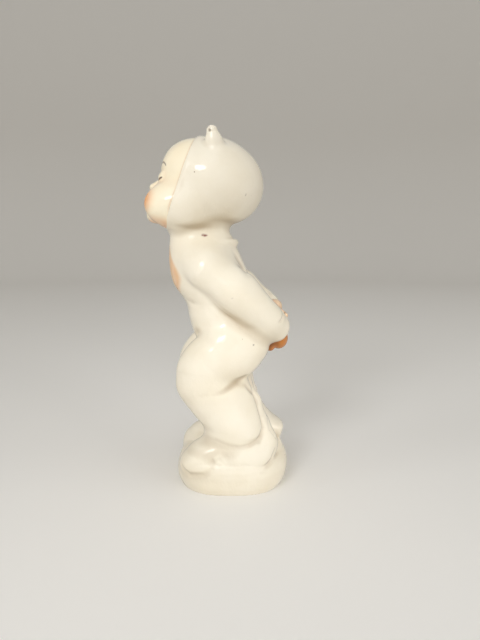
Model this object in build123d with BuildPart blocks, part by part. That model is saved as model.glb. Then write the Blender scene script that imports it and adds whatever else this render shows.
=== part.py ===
"""A standing chalkware child in a hooded animal suit, hands held behind the back.

Millimetres. The figure faces -Y, its left side is +X, and it stands on Z = 0.
The origin is the middle of the underside of the base.
Each section is cast in plaster and keyed to its neighbour by a round peg in a socket.
"""

import os
from math import asin, copysign, cos, degrees, pi, radians, sin
from typing import NamedTuple

from build123d import *

os.makedirs("parts", exist_ok=True)

# Casting
CAST_WALL = 7.0
HOOD_THICKNESS = 4.5
PEG_GAP = 0.15
BALL_STEP = 0.1

# Base
BASE_WIDTH = 75.0
BASE_DEPTH = 78.0
BASE_SQUARENESS = 2.6
OVAL_POINTS = 24
MOUND_CENTRE = (0.0, 20.0, 14.0)
MOUND_HALF_SIZE = (27.0, 18.6, 21.0)

# Legs
LEG_X = 17.0
RIGHT_LEG_FORWARD = 2.0
HEEL_CENTRE = (LEG_X - 0.5, 10.0, 23.0)
HEEL_HALF_SIZE = (18.5, 20.0, 15.5)
WELT_CENTRE = (LEG_X + 2.0, -8.0, 19.5)
WELT_HALF_SIZE = (15.5, 15.0, 7.0)
SHOE_CENTRE = (LEG_X + 2.5, -21.5, 20.0)
SHOE_HALF_SIZE = (14.0, 14.5, 9.8)
SHOE_TILT = 18.0
INSTEP_CENTRE = (LEG_X, -8.5, 25.0)
INSTEP_HALF_SIZE = (12.5, 14.0, 11.0)
THIGH_CENTRE = (LEG_X, -6.3, 90.2)
THIGH_HALF_SIZE = (18.0, 33.2, 21.5)
THIGH_TILT = 30.0
SEAT_CENTRE = (LEG_X - 5.0, 9.5, 96.0)
SEAT_HALF_SIZE = (13.5, 11.0, 14.0)
WEB = [(LEG_X - 6.0, 7.0, 75.0), (LEG_X - 4.5, 14.2, 58.0), (LEG_X - 4.0, 17.0, 42.0), (LEG_X - 3.0, 20.0, 30.5)]
WEB_RADII = [4.5, 6.2, 9.0, 11.8]

# Arms
SHOULDER = (21.0, -15.0, 150.0)
ELBOW = (24.5, 4.0, 135.2)
RIGHT_ELBOW = (-ELBOW[0], ELBOW[1], ELBOW[2])
SHOULDER_RADIUS = 14.5
ELBOW_RADIUS = 13.0
LEFT_FOREARM = [ELBOW, (23.0, 14.2, 125.4), (18.8, 22.4, 117.2), (12.0, 29.4, 111.4)]
LEFT_FOREARM_RADII = [12.8, 12.0, 11.0, 10.5]
RIGHT_FOREARM = [RIGHT_ELBOW, (-23.0, 12.5, 127.5), (-17.5, 20.0, 124.2), (-9.5, 25.8, 122.6)]
RIGHT_FOREARM_RADII = [12.8, 11.8, 10.4, 9.2]

# Hands: the first finger's joints and the step to the next finger's
FINGER_COUNT = 4
LEFT_PALM_CENTRE = (5.0, 33.0, 102.0)
LEFT_PALM_HALF_SIZE = (9.5, 6.5, 7.5)
FINGER = [(0.5, 37.0, 103.0), (-7.0, 36.0, 100.5), (-8.5, 32.0, 99.5)]
FINGER_STEP = [(0.0, -2.6, -2.3), (0.0, -2.4, -2.0), (0.0, -1.6, -1.6)]
FINGER_RADII = [2.9, 2.7, 2.3]
THUMB = [(10.0, 29.5, 100.5), (9.0, 27.0, 96.6), (4.0, 27.0, 95.2)]
THUMB_RADII = [3.0, 2.7, 2.3]
RIGHT_PALM = [(-2.0, 29.6, 123.4), (4.0, 31.2, 123.6)]
RIGHT_PALM_RADII = [5.4, 5.0]
GRIP_ANGLES = [-50.0, -8.0, 34.0]
GRIP_RADII = [2.5, 2.4, 2.0]
GRIP_REACH = 9.9
GRIP_PITCH = 3.7

# Collar, which stands clear of the suit at the nape
COLLAR_CENTRE = (0.0, -16.6, 167.8)
COLLAR_HALF_WIDTH = 15.6
COLLAR_HALF_DEPTH = 19.2
COLLAR_RADIUS = 2.4

# Head and hood, on axes tipped back about HEAD_CENTRE
HEAD_CENTRE = (0.0, -12.5, 205.5)
HEAD_TILT = 20.0
HOOD_CENTRE = (0.0, 0.0, 3.0)
HOOD_HALF_SIZE = (32.0, 34.0, 28.5)
HOOD_EDGE_Y = -19.0
SLING_CENTRE = (0.0, -10.0, -19.0)
SLING_HALF_SIZE = (28.5, 22.0, 21.0)
HEAD_HOLLOW_CENTRE = (0.0, -4.0, 5.0)
HEAD_HOLLOW_HALF_SIZE = (20.0, 21.0, 14.0)

# Face
FOREHEAD_CENTRE = (0.0, -11.0, 3.5)
FOREHEAD_HALF_SIZE = (26.0, 25.6, 23.5)
JAW_CENTRE = (0.0, -15.0, -18.5)
JAW_HALF_SIZE = (25.0, 20.0, 19.5)
CHEEK_CENTRE = (10.5, -24.5, -23.5)
CHEEK_HALF_SIZE = (12.0, 13.6, 12.0)
MUZZLE_CENTRE = (0.0, -31.5, -24.5)
MUZZLE_HALF_SIZE = (8.0, 7.0, 6.5)
CHIN_CENTRE = (0.0, -30.5, -32.0)
CHIN_HALF_SIZE = (6.0, 5.5, 5.0)
NOSE = [(0.0, -31.0, -6.5), (0.0, -36.8, -14.6)]
NOSE_RADII = [2.2, 3.1]

# Ears, set on the hood at this part of its half width
EAR_SPREAD = 0.58
EAR_ROOT = (EAR_SPREAD * HOOD_HALF_SIZE[0], -8.5, 223.0)
EAR_TIP = (EAR_ROOT[0] + 4.7, EAR_ROOT[1] - 2.8, EAR_ROOT[2] + 13.3)
EAR_ROOT_RADIUS = 7.5
EAR_TIP_RADIUS = 3.5


class Station(NamedTuple):
    """One level ellipse of a lofted section."""

    height: float
    centre_y: float
    half_width: float
    half_depth: float


class Peg(NamedTuple):
    """A round key from its root in one section to its tip in the next."""

    root: tuple
    tip: tuple
    radius: float


# Levels of the base, from its foot to the trodden top
BASE = [
    Station(0.0, 0.0, BASE_WIDTH / 2 - 1.6, BASE_DEPTH / 2 - 2.5),
    Station(4.0, 0.0, BASE_WIDTH / 2 - 0.3, BASE_DEPTH / 2 - 0.6),
    Station(9.0, 0.0, BASE_WIDTH / 2, BASE_DEPTH / 2),
    Station(14.0, 0.0, BASE_WIDTH / 2 - 0.8, BASE_DEPTH / 2 - 0.9),
    Station(18.0, 0.0, BASE_WIDTH / 2 - 3.2, BASE_DEPTH / 2 - 3.4),
    Station(20.5, 0.0, BASE_WIDTH / 2 - 8.0, BASE_DEPTH / 2 - 8.0),
    Station(21.5, 0.0, BASE_WIDTH / 2 - 13.0, BASE_DEPTH / 2 - 13.0),
]

# Levels of one baggy trouser leg, from the heel up into the knee
LOWER_LEG = [
    Station(30.0, 2.5, 13.0, 12.5),
    Station(37.5, 2.5, 17.0, 18.4),
    Station(45.0, 0.5, 17.7, 21.3),
    Station(52.5, -3.2, 17.5, 23.4),
    Station(61.0, -7.6, 17.5, 24.6),
    Station(70.0, -10.5, 17.0, 24.0),
    Station(80.0, -9.4, 14.5, 19.0),
]

# Levels of the tail, from its tip up to its root in the seat
TAIL = [
    Station(26.0, 31.5, 3.5, 3.2),
    Station(32.0, 30.8, 8.5, 6.0),
    Station(38.0, 29.3, 12.2, 7.7),
    Station(44.0, 22.8, 12.5, 7.2),
    Station(52.0, 16.6, 11.2, 6.7),
    Station(62.0, 12.0, 10.0, 6.4),
    Station(74.0, 9.0, 9.0, 6.5),
    Station(88.0, 6.0, 10.0, 8.0),
]

# Levels of the suit's body, from the seat to the neck
TORSO = [
    Station(86.0, 4.0, 20.0, 17.0),
    Station(94.0, 3.0, 26.0, 22.5),
    Station(104.0, 0.0, 28.5, 25.5),
    Station(116.0, -4.5, 27.0, 25.0),
    Station(127.0, -7.5, 26.0, 24.0),
    Station(140.0, -13.0, 27.0, 27.0),
    Station(152.0, -16.5, 27.0, 26.0),
    Station(163.0, -19.0, 24.0, 23.5),
    Station(171.0, -20.5, 19.5, 21.5),
    Station(180.0, -20.5, 17.0, 19.5),
]
TORSO_HOLLOW = TORSO[3:8]


def ellipsoid(centre, half_size, tilt=0.0):
    """An ellipsoid tipped about X by tilt degrees."""
    with BuildPart() as form:
        Sphere(radius=1.0)
        scale(by=half_size)
    return form.part.moved(Location(centre, (tilt, 0, 0)))


def lofted(stations, centre_x=0.0, shrink=0.0):
    """A loft through level ellipses, each drawn in by shrink all round."""
    with BuildPart() as form:
        for level in stations:
            with BuildSketch(Plane.XY.offset(level.height)):
                with Locations((centre_x, level.centre_y)):
                    Ellipse(level.half_width - shrink, level.half_depth - shrink)
        loft()
    return form.part


def oval(half_width, half_depth):
    """The points of an oval that is squarer than an ellipse."""
    points = []
    for index in range(OVAL_POINTS):
        turn = 2 * pi * index / OVAL_POINTS
        x = copysign(abs(cos(turn)) ** (2 / BASE_SQUARENESS), cos(turn))
        y = copysign(abs(sin(turn)) ** (2 / BASE_SQUARENESS), sin(turn))
        points.append((half_width * x, half_depth * y))
    return points


def oval_loft(stations):
    """A loft through level ovals."""
    with BuildPart() as form:
        for level in stations:
            with BuildSketch(Plane.XY.offset(level.height)):
                with BuildLine():
                    Spline(oval(level.half_width, level.half_depth), periodic=True)
                make_face()
        loft()
    return form.part


def round_cone(start, end, start_radius, end_radius):
    """Two balls and the cone that touches both, turned as one solid."""
    run = Vector(end) - Vector(start)
    lean = degrees(asin((start_radius - end_radius) / run.length))
    with BuildPart() as form:
        with BuildSketch(Plane.XZ):
            with BuildLine():
                lower = JernArc((0, -start_radius), (1, 0), start_radius, 90 + lean)
                upper = JernArc((0, run.length + end_radius), (1, 0), end_radius, lean - 90)
                Line(lower @ 1, upper @ 1)
                Line(upper @ 0, lower @ 0)
            make_face()
        revolve(axis=Axis.Z)
    return form.part.moved(Plane(origin=start, z_dir=run).location)


def limb(points, radii):
    """Round cones from point to point, each ball a little inside the one it grows from."""
    cones = []
    for index in range(len(points) - 1):
        start_radius = radii[index] - BALL_STEP * index
        cones.append(round_cone(points[index], points[index + 1], start_radius, radii[index + 1]))
    return cones


def along(start, end, distance):
    """The point at this distance from start on the line to end."""
    run = Vector(end) - Vector(start)
    return tuple(Vector(start) + run.normalized() * distance)


def keyed(peg, gap=0.0):
    """The peg itself, or with a gap the socket that takes it."""
    run = Vector(peg.tip) - Vector(peg.root)
    with BuildPart() as form:
        Cylinder(peg.radius + gap, run.length + gap, align=(Align.CENTER, Align.CENTER, Align.MIN))
    return form.part.moved(Plane(origin=peg.root, z_dir=run).location)


def mirrored(form):
    """The same shape on the figure's other side."""
    return mirror(form, about=Plane.YZ)


def other_leg(form):
    """The same shape on the figure's right leg, which stands a little further forward."""
    return mirrored(form).moved(Location((0, -RIGHT_LEG_FORWARD, 0)))


def both_legs(*forms):
    """These left leg shapes and those of the right leg."""
    return [*forms, *[other_leg(form) for form in forms]]


def both_sides(*forms):
    """These shapes and their mirror images."""
    return [*forms, *[mirrored(form) for form in forms]]


def left_fingers():
    """Four bent fingers and the thumb of the hanging hand."""
    cones = limb(THUMB, THUMB_RADII)
    for index in range(FINGER_COUNT):
        joints = [tuple(Vector(joint) + Vector(step) * index) for joint, step in zip(FINGER, FINGER_STEP)]
        cones += limb(joints, FINGER_RADII)
    return cones


def grip_point(shift, angle):
    """A point round the left sleeve: shift along it, angle from its top towards the outside."""
    wrist = Vector(LEFT_FOREARM[-1])
    axis = (wrist - Vector(ELBOW)).normalized()
    top = (Vector(0, 0, 1) - axis * axis.Z).normalized()
    outside = axis.cross(top)
    turn = radians(angle)
    return tuple(wrist + axis * shift + (top * cos(turn) + outside * sin(turn)) * GRIP_REACH)


def right_fingers():
    """Four fingers laid over the other hand's sleeve."""
    cones = []
    for index in range(FINGER_COUNT):
        joints = [grip_point(-GRIP_PITCH * index, angle) for angle in GRIP_ANGLES]
        cones += limb(joints, GRIP_RADII)
    return cones


# Pegs of the left side; the right side takes their mirror images
ANKLE = Peg((LEG_X, 2.0, 50.0), (LEG_X, 2.0, 20.0), 5.0)
PAW = Peg((LEG_X, -22.0, 25.0), (LEG_X - 2.0, -20.0, 9.0), 3.5)
KNEE = Peg((LEG_X, -6.0, 52.0), (LEG_X, -7.0, 77.0), 5.0)
HIP = Peg((14.0, -1.0, 80.0), (13.0, 0.0, 107.0), 5.0)
SLEEVE = Peg((33.0, -15.0, 150.0), (22.5, -15.0, 150.0), 4.0)
EAR = Peg(along(EAR_ROOT, EAR_TIP, 10.0), along(EAR_ROOT, EAR_TIP, 4.8), 2.4)

# Pegs that have no mirror
TAIL_FOOT = Peg((0.0, 29.0, 37.0), (0.0, 27.0, 22.0), 3.0)
NECK = Peg((0.0, -19.0, 168.0), (0.0, -19.0, 190.0), 11.0)
VENT = Peg((0.0, -19.0, 160.0), (0.0, -19.0, 202.0), 1.5)
LEFT_ELBOW_KEY = Peg(along(ELBOW, LEFT_FOREARM[1], 17.0), along(ELBOW, LEFT_FOREARM[1], 7.0), 3.2)
RIGHT_ELBOW_KEY = Peg(along(RIGHT_ELBOW, RIGHT_FOREARM[1], 17.0), along(RIGHT_ELBOW, RIGHT_FOREARM[1], 7.0), 3.2)
LEFT_WRIST_KEY = Peg(LEFT_PALM_CENTRE, along(LEFT_FOREARM[-1], LEFT_PALM_CENTRE, 3.0), 3.0)
RIGHT_WRIST_KEY = Peg(RIGHT_PALM[1], along(RIGHT_FOREARM[-1], RIGHT_PALM[1], 3.0), 3.0)

# Whole shapes, before one is cut to sit against another
head_place = Location(HEAD_CENTRE, (-HEAD_TILT, 0, 0))
hood_inner_size = tuple(half - HOOD_THICKNESS for half in HOOD_HALF_SIZE)
base_slab = oval_loft(BASE)
base_mound = ellipsoid(MOUND_CENTRE, MOUND_HALF_SIZE)
base_heels = both_legs(ellipsoid(HEEL_CENTRE, HEEL_HALF_SIZE), ellipsoid(WELT_CENTRE, WELT_HALF_SIZE))
left_paw_forms = [
    ellipsoid(SHOE_CENTRE, SHOE_HALF_SIZE, SHOE_TILT),
    ellipsoid(INSTEP_CENTRE, INSTEP_HALF_SIZE),
]
left_lower_leg_forms = [lofted(LOWER_LEG, centre_x=LEG_X), *limb(WEB, WEB_RADII)]
left_thigh_forms = [
    ellipsoid(THIGH_CENTRE, THIGH_HALF_SIZE, THIGH_TILT),
    ellipsoid(SEAT_CENTRE, SEAT_HALF_SIZE),
]
right_paw_forms = [other_leg(form) for form in left_paw_forms]
right_lower_leg_forms = [other_leg(form) for form in left_lower_leg_forms]
right_thigh_forms = [other_leg(form) for form in left_thigh_forms]
tail_form = lofted(TAIL)
torso_form = lofted(TORSO)
torso_hollow = lofted(TORSO_HOLLOW, shrink=CAST_WALL)
upper_arm_form = round_cone(SHOULDER, ELBOW, SHOULDER_RADIUS, ELBOW_RADIUS)
left_forearm_forms = limb(LEFT_FOREARM, LEFT_FOREARM_RADII)
right_forearm_forms = limb(RIGHT_FOREARM, RIGHT_FOREARM_RADII)
left_hand_forms = [ellipsoid(LEFT_PALM_CENTRE, LEFT_PALM_HALF_SIZE), *left_fingers()]
right_hand_forms = [*limb(RIGHT_PALM, RIGHT_PALM_RADII), *right_fingers()]
ear_form = round_cone(EAR_ROOT, EAR_TIP, EAR_ROOT_RADIUS, EAR_TIP_RADIUS)
head_shapes = [
    ellipsoid(HOOD_CENTRE, hood_inner_size),
    ellipsoid(FOREHEAD_CENTRE, FOREHEAD_HALF_SIZE),
    ellipsoid(JAW_CENTRE, JAW_HALF_SIZE),
    *both_sides(ellipsoid(CHEEK_CENTRE, CHEEK_HALF_SIZE)),
    ellipsoid(MUZZLE_CENTRE, MUZZLE_HALF_SIZE),
    ellipsoid(CHIN_CENTRE, CHIN_HALF_SIZE),
    *limb(NOSE, NOSE_RADII),
]
hood_shapes = [
    ellipsoid(HOOD_CENTRE, HOOD_HALF_SIZE),
    ellipsoid(SLING_CENTRE, SLING_HALF_SIZE),
]
head_forms = [shape.moved(head_place) for shape in head_shapes]
hood_forms = [shape.moved(head_place) for shape in hood_shapes]
head_hollow = ellipsoid(HEAD_HOLLOW_CENTRE, HEAD_HOLLOW_HALF_SIZE).moved(head_place)
hood_edge = Plane(head_place * Location((0, HOOD_EDGE_Y, 0), (-90, 0, 0)))
base_forms = [base_slab, base_mound, *base_heels]
thigh_forms = [*left_thigh_forms, *right_thigh_forms]
lower_leg_forms = [*left_lower_leg_forms, *right_lower_leg_forms]
right_upper_arm_form = mirrored(upper_arm_form)
vent = keyed(VENT)

# Pegs and the sockets that take them
left_ankle_peg = keyed(ANKLE)
left_paw_peg = keyed(PAW)
left_knee_peg = keyed(KNEE)
left_hip_peg = keyed(HIP)
right_ankle_peg = other_leg(left_ankle_peg)
right_paw_peg = other_leg(left_paw_peg)
right_knee_peg = other_leg(left_knee_peg)
right_hip_peg = other_leg(left_hip_peg)
left_knee_socket = keyed(KNEE, PEG_GAP)
right_knee_socket = other_leg(left_knee_socket)
sleeve_peg = keyed(SLEEVE)
ear_peg = keyed(EAR)
tail_peg = keyed(TAIL_FOOT)
neck_peg = keyed(NECK)
left_elbow_peg = keyed(LEFT_ELBOW_KEY)
right_elbow_peg = keyed(RIGHT_ELBOW_KEY)
left_wrist_peg = keyed(LEFT_WRIST_KEY)
right_wrist_peg = keyed(RIGHT_WRIST_KEY)
tail_socket = keyed(TAIL_FOOT, PEG_GAP)
neck_socket = keyed(NECK, PEG_GAP)
left_elbow_socket = keyed(LEFT_ELBOW_KEY, PEG_GAP)
right_elbow_socket = keyed(RIGHT_ELBOW_KEY, PEG_GAP)
left_wrist_socket = keyed(LEFT_WRIST_KEY, PEG_GAP)
right_wrist_socket = keyed(RIGHT_WRIST_KEY, PEG_GAP)
foot_sockets = both_legs(keyed(ANKLE, PEG_GAP), keyed(PAW, PEG_GAP))
hip_sockets = both_legs(keyed(HIP, PEG_GAP))
sleeve_sockets = both_sides(keyed(SLEEVE, PEG_GAP))
ear_sockets = both_sides(keyed(EAR, PEG_GAP))

with BuildPart() as base:
    add(base_mound)
    split(bisect_by=Plane.XY, keep=Keep.TOP)
    add(base_slab)
    add(base_heels)
    add(foot_sockets, mode=Mode.SUBTRACT)
    add(tail_socket, mode=Mode.SUBTRACT)
base.part.label = "base"
export_step(base.part, "parts/base.step")

with BuildPart() as left_lower_leg:
    add(left_lower_leg_forms)
    split(bisect_by=Plane.YZ, keep=Keep.TOP)
    add(base_forms, mode=Mode.SUBTRACT)
    add(left_thigh_forms, mode=Mode.SUBTRACT)
    add(left_ankle_peg)
    add(left_knee_peg)
left_lower_leg.part.label = "left_lower_leg"
export_step(left_lower_leg.part, "parts/left_lower_leg.step")

with BuildPart() as right_lower_leg:
    add(right_lower_leg_forms)
    split(bisect_by=Plane.YZ, keep=Keep.BOTTOM)
    add(base_forms, mode=Mode.SUBTRACT)
    add(right_thigh_forms, mode=Mode.SUBTRACT)
    add(right_ankle_peg)
    add(right_knee_peg)
right_lower_leg.part.label = "right_lower_leg"
export_step(right_lower_leg.part, "parts/right_lower_leg.step")

with BuildPart() as left_paw:
    add(left_paw_forms)
    add(base_forms, mode=Mode.SUBTRACT)
    add(left_lower_leg_forms, mode=Mode.SUBTRACT)
    add(left_paw_peg)
left_paw.part.label = "left_paw"
export_step(left_paw.part, "parts/left_paw.step")

with BuildPart() as right_paw:
    add(right_paw_forms)
    add(base_forms, mode=Mode.SUBTRACT)
    add(right_lower_leg_forms, mode=Mode.SUBTRACT)
    add(right_paw_peg)
right_paw.part.label = "right_paw"
export_step(right_paw.part, "parts/right_paw.step")

with BuildPart() as left_thigh:
    add(left_thigh_forms)
    split(bisect_by=Plane.YZ, keep=Keep.TOP)
    add(torso_form, mode=Mode.SUBTRACT)
    add(left_knee_socket, mode=Mode.SUBTRACT)
    add(left_hip_peg)
left_thigh.part.label = "left_thigh"
export_step(left_thigh.part, "parts/left_thigh.step")

with BuildPart() as right_thigh:
    add(right_thigh_forms)
    split(bisect_by=Plane.YZ, keep=Keep.BOTTOM)
    add(torso_form, mode=Mode.SUBTRACT)
    add(right_knee_socket, mode=Mode.SUBTRACT)
    add(right_hip_peg)
right_thigh.part.label = "right_thigh"
export_step(right_thigh.part, "parts/right_thigh.step")

with BuildPart() as tail:
    add(tail_form)
    add(torso_form, mode=Mode.SUBTRACT)
    add(thigh_forms, mode=Mode.SUBTRACT)
    add(lower_leg_forms, mode=Mode.SUBTRACT)
    add(base_forms, mode=Mode.SUBTRACT)
    add(tail_peg)
tail.part.label = "tail"
export_step(tail.part, "parts/tail.step")

with BuildPart() as torso:
    add(torso_form)
    add(torso_hollow, mode=Mode.SUBTRACT)
    add(hood_forms, mode=Mode.SUBTRACT)
    add(head_forms, mode=Mode.SUBTRACT)
    add(neck_peg)
    add(vent, mode=Mode.SUBTRACT)
    add(hip_sockets, mode=Mode.SUBTRACT)
    add(sleeve_sockets, mode=Mode.SUBTRACT)
torso.part.label = "torso"
export_step(torso.part, "parts/torso.step")

with BuildPart() as collar:
    with BuildLine(Plane(COLLAR_CENTRE)) as ring:
        EllipticalCenterArc((0, 0), COLLAR_HALF_WIDTH, COLLAR_HALF_DEPTH, 0, arc_size=360)
    with BuildSketch(Plane(origin=ring.line @ 0, z_dir=ring.line % 0)):
        Circle(COLLAR_RADIUS)
    sweep()
    add(torso_form, mode=Mode.SUBTRACT)
    add(hood_forms, mode=Mode.SUBTRACT)
    add(head_forms, mode=Mode.SUBTRACT)
collar.part.label = "collar"
export_step(collar.part, "parts/collar.step")

with BuildPart() as left_upper_arm:
    add(upper_arm_form)
    add(torso_form, mode=Mode.SUBTRACT)
    add(left_elbow_socket, mode=Mode.SUBTRACT)
    add(sleeve_peg)
left_upper_arm.part.label = "left_upper_arm"
export_step(left_upper_arm.part, "parts/left_upper_arm.step")

with BuildPart() as right_upper_arm:
    add(right_upper_arm_form)
    add(torso_form, mode=Mode.SUBTRACT)
    add(right_elbow_socket, mode=Mode.SUBTRACT)
    mirror(sleeve_peg, about=Plane.YZ)
right_upper_arm.part.label = "right_upper_arm"
export_step(right_upper_arm.part, "parts/right_upper_arm.step")

with BuildPart() as left_forearm:
    add(left_forearm_forms)
    add(upper_arm_form, mode=Mode.SUBTRACT)
    add(torso_form, mode=Mode.SUBTRACT)
    add(left_thigh_forms, mode=Mode.SUBTRACT)
    add(left_wrist_socket, mode=Mode.SUBTRACT)
    add(left_elbow_peg)
left_forearm.part.label = "left_forearm"
export_step(left_forearm.part, "parts/left_forearm.step")

with BuildPart() as right_forearm:
    add(right_forearm_forms)
    add(right_upper_arm_form, mode=Mode.SUBTRACT)
    add(torso_form, mode=Mode.SUBTRACT)
    add(right_thigh_forms, mode=Mode.SUBTRACT)
    add(right_wrist_socket, mode=Mode.SUBTRACT)
    add(right_elbow_peg)
right_forearm.part.label = "right_forearm"
export_step(right_forearm.part, "parts/right_forearm.step")

with BuildPart() as left_hand:
    add(left_hand_forms)
    add(left_forearm_forms, mode=Mode.SUBTRACT)
    add(right_forearm_forms, mode=Mode.SUBTRACT)
    add(torso_form, mode=Mode.SUBTRACT)
    add(left_wrist_peg)
left_hand.part.label = "left_hand"
export_step(left_hand.part, "parts/left_hand.step")

with BuildPart() as right_hand:
    add(right_hand_forms)
    add(left_forearm_forms, mode=Mode.SUBTRACT)
    add(right_forearm_forms, mode=Mode.SUBTRACT)
    add(torso_form, mode=Mode.SUBTRACT)
    add(right_wrist_peg)
right_hand.part.label = "right_hand"
export_step(right_hand.part, "parts/right_hand.step")

with BuildPart() as head:
    add(head_forms)
    add(head_hollow, mode=Mode.SUBTRACT)
    add(neck_socket, mode=Mode.SUBTRACT)
    add(vent, mode=Mode.SUBTRACT)
head.part.label = "head"
export_step(head.part, "parts/head.step")

with BuildPart() as hood:
    add(hood_forms)
    split(bisect_by=hood_edge, keep=Keep.TOP)
    add(head_forms, mode=Mode.SUBTRACT)
    add(neck_socket, mode=Mode.SUBTRACT)
    add(ear_sockets, mode=Mode.SUBTRACT)
hood.part.label = "hood"
export_step(hood.part, "parts/hood.step")

with BuildPart() as left_ear:
    add(ear_form)
    add(hood_forms, mode=Mode.SUBTRACT)
    add(head_forms, mode=Mode.SUBTRACT)
    add(ear_peg)
left_ear.part.label = "left_ear"
export_step(left_ear.part, "parts/left_ear.step")

with BuildPart() as right_ear:
    mirror(left_ear.part, about=Plane.YZ)
right_ear.part.label = "right_ear"
export_step(right_ear.part, "parts/right_ear.step")
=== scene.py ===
"""Dresses the chalkware figure: one sculpted skin, cut into the sections of the frame.

The sculpture is a signed distance in millimetres, in the frame's own axes: the figure faces -Y,
its left side is +X and it stands on Z = 0. The skin is drawn where that distance is zero, and each
stretch of it goes to the section that is nearest. The stage, the lamps and the camera, which come
last, are in metres.
"""

import math

import bpy
import numpy as np
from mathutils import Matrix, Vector


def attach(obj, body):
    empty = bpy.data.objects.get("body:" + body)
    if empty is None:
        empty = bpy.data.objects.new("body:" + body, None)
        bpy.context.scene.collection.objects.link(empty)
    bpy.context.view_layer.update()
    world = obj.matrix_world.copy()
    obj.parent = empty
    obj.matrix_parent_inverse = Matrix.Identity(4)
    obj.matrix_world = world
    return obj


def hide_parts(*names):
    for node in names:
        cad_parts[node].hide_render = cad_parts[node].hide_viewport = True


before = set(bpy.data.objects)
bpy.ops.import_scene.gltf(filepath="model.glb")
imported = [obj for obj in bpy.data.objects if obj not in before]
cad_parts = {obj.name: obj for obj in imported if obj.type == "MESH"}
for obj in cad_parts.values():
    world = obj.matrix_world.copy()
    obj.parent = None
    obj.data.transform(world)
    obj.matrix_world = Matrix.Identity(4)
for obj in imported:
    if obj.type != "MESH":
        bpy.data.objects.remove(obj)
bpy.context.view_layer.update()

MM = 0.001
FAR = 60.0  # stands for any distance out of reach
TINY = 1e-12  # keeps a division safe

# The grid that the skin is drawn on
GRID_LOW = np.array((-43.0, -62.0, -2.6))
GRID_HIGH = np.array((43.0, 45.0, 243.0))
CELL = 0.75
BLOCK = 4  # cells along each side of a block
NEAR_BLOCKS = 1.6  # a block is filled in if its middle is within this many blocks of the skin
SLAB = 10.0  # height of the points that are worked out together
REACH = 16.0  # how far above and below its own heights a section counts
PROBE = 0.08  # step that a slope is measured over
LEAST_SLOPE = 0.2  # least squared slope that a step on to the skin is divided by

# The inside of a section
INSET = 2.6  # how far below the skin the closing faces turn to the middle
MIDDLE_Y = -4.0  # where the middle of the figure runs, from front to back
CORE_TRIES = 7  # places tried between a start and the middle
CORE_TESTS = (0.1, 0.2, 0.35, 0.6, 0.85, 1.0)  # shares of the way in at which a line is tested
RIM_STRIDE = 4  # one in this many points of the rim is tested
CUT_MARGIN = 0.02  # share of an edge that a cut keeps clear of its ends


def length(v):
    return np.sqrt(np.einsum("ij,ij->i", v, v))


def ramp(x, low, high):
    """0 below low, 1 above high and smooth between."""
    t = np.clip((x - low) / (high - low), 0.0, 1.0)
    return t * t * (3.0 - 2.0 * t)


def fade(x, low, high):
    """1 below low, 0 above high and smooth between."""
    return 1.0 - ramp(x, low, high)


def blend(a, b, fillet):
    """The union of two distances, with a fillet of about this radius."""
    near = np.maximum(fillet - np.abs(a - b), 0.0) / fillet
    return np.minimum(a, b) - near * near * fillet / 4.0


def along(p, a, b):
    """Each point's share of the way from a to b, and its distance from that line."""
    run = b - a
    share = np.clip((p - a) @ run / (run @ run), 0.0, 1.0)
    return share, length(p - a - share[:, None] * run)


def ellipsoid(p, centre, radii, tilt=0.0):
    """Distance to an ellipsoid that is tipped about X by tilt degrees."""
    q = p - np.array(centre)
    if tilt:
        c, s = math.cos(math.radians(tilt)), math.sin(math.radians(tilt))
        q = np.stack((q[:, 0], q[:, 1] * c + q[:, 2] * s, q[:, 2] * c - q[:, 1] * s), axis=1)
    scaled = q / np.array(radii)
    near = length(scaled)
    return near * (near - 1.0) / np.maximum(length(scaled / np.array(radii)), TINY)


def limb(p, points, radii, fillet=3.0):
    """Distance to a chain of round cones through the points."""
    chain = None
    for a, b, start, end in zip(points, points[1:], radii, radii[1:]):
        share, away = along(p, np.array(a), np.array(b))
        cone = away - (start + (end - start) * share)
        chain = cone if chain is None else blend(chain, cone, fillet)
    return chain


def smooth_levels(stations, count=60):
    """The stations of a loft drawn as a smooth curve over height."""
    table = np.array(stations)
    heights = np.linspace(table[0, 0], table[-1, 0], count)
    slopes = np.gradient(table, table[:, 0], axis=0)
    place = np.searchsorted(table[:, 0], heights, side="right") - 1
    place = np.clip(place, 0, len(table) - 2)
    span = (table[place + 1, 0] - table[place, 0])[:, None]
    t = (heights - table[place, 0])[:, None] / span
    curve = (
        (2 * t**3 - 3 * t**2 + 1) * table[place]
        + (t**3 - 2 * t**2 + t) * span * slopes[place]
        + (3 * t**2 - 2 * t**3) * table[place + 1]
        + (t**3 - t**2) * span * slopes[place + 1]
    )
    curve[:, 0] = heights
    return curve


def loft(p, levels, middle_x=0.0, power=2.0):
    """Distance to a stack of level ellipses, squarer in plan for a higher power."""
    z = np.clip(p[:, 2], levels[0, 0], levels[-1, 0])
    middle_y, half_x, half_y = (np.interp(z, levels[:, 0], levels[:, i]) for i in (1, 2, 3))
    sx = (p[:, 0] - middle_x) / half_x
    sy = (p[:, 1] - middle_y) / half_y
    near = (np.abs(sx) ** power + np.abs(sy) ** power) ** (1.0 / power)
    side = near * (near - 1.0) / np.maximum(np.hypot(sx / half_x, sy / half_y), TINY)
    end = np.maximum(levels[0, 0] - p[:, 2], p[:, 2] - levels[-1, 0])
    outside = np.hypot(np.maximum(side, 0.0), np.maximum(end, 0.0))
    return outside + np.minimum(np.maximum(side, end), 0.0)


# In what follows an ellipsoid is its centre, its radii and, where it is tipped, its tilt; a limb is
# its points, the radius at each and, where it isn't the usual one, its fillet; and a loft is a list
# of levels: height, middle in Y, half width and half depth.

LEG_X = 17.0
RIGHT_LEG_FORWARD = 2.0


def mirrored(p):
    return p * np.array((-1.0, 1.0, 1.0))


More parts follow.
